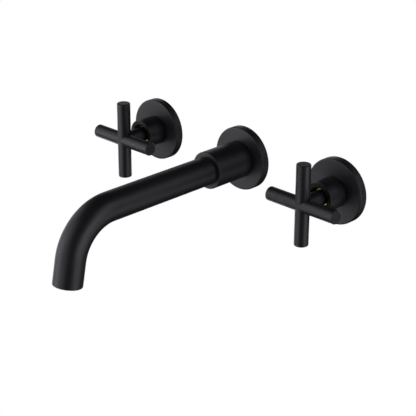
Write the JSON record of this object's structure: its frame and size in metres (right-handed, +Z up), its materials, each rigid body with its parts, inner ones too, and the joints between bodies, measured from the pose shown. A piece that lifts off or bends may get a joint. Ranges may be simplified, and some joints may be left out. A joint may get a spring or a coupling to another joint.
{
  "type": "wall mounted bath faucet",
  "caption": "Wall mounted bath faucet: a round spout bent down at its end, a quarter-turn cross handle on each side, and the brass valve set inside the wall that carries them.",
  "frame": {"origin": "on the spout's axis, in the plane of the finished wall that the cover plates sit on", "axes": "+Z up, -Y out of the wall towards the user, +X to the right as the user faces the wall"},
  "size_m": [0.272, 0.2726, 0.0874],
  "materials": {
    "matte_black": "fine matte black coating on brass",
    "machined_brass": "machined, uncoated",
    "forged_brass": "hot-forged, blasted, uncoated",
    "drawn_brass": "drawn tube, uncoated",
    "black_steel": "blackened steel",
    "spring_steel": "spring steel",
    "galvanised_steel": "galvanised sheet",
    "zinc_steel": "zinc plated",
    "black_rubber": "moulded rubber",
    "foam": "closed-cell foam rubber",
    "ceramic": "lapped alumina ceramic",
    "white_plastic": "moulded plastic",
    "grey_plastic": "moulded plastic"
  },
  "bodies": {
    "root": {"left_flange": "matte_black", "left_gasket": "foam", "left_sleeve": "matte_black", "left_cartridge_housing": "machined_brass", "left_housing_seal": "black_rubber", "left_thrust_washer": "white_plastic", "left_fixed_disc": "ceramic", "left_seat_seal": "black_rubber", "left_valve_body": "forged_brass", "left_cross_pipe": "drawn_brass", "right_flange": "matte_black", "right_gasket": "foam", "right_sleeve": "matte_black", "right_cartridge_housing": "machined_brass", "right_housing_seal": "black_rubber", "right_thrust_washer": "white_plastic", "right_fixed_disc": "ceramic", "right_seat_seal": "black_rubber", "right_valve_body": "forged_brass", "right_cross_pipe": "drawn_brass", "spout_flange": "matte_black", "spout_gasket": "foam", "spout_collar": "matte_black", "spout_set_screw": "black_steel", "spout_connector": "machined_brass", "connector_o_rings": "black_rubber", "connector_seal": "black_rubber", "spout_tube": "matte_black", "aerator_housing": "grey_plastic", "aerator_honeycomb": "white_plastic", "aerator_jet_plate": "grey_plastic", "aerator_washer": "black_rubber", "spout_body": "forged_brass", "mounting_bracket": "galvanised_steel", "bracket_screws": "zinc_steel"},
    "left_handle": {"left_handle_cross": "matte_black", "left_handle_set_screw": "black_steel", "left_spindle": "machined_brass", "left_spindle_o_rings": "black_rubber", "left_spindle_clip": "spring_steel", "left_turning_disc": "ceramic"},
    "right_handle": {"right_handle_cross": "matte_black", "right_handle_set_screw": "black_steel", "right_spindle": "machined_brass", "right_spindle_o_rings": "black_rubber", "right_spindle_clip": "spring_steel", "right_turning_disc": "ceramic"}
  },
  "joints": [
    {"name": "left_handle_turn", "type": "hinge", "parent": "root", "child": "left_handle", "pos_m": [-0.1016, 0, 0], "axis": [0, -1, 0], "range_deg": [0, 90]},
    {"name": "right_handle_turn", "type": "hinge", "parent": "root", "child": "right_handle", "pos_m": [0.1016, 0, 0], "axis": [0, 1, 0], "range_deg": [0, 90]}
  ]
}
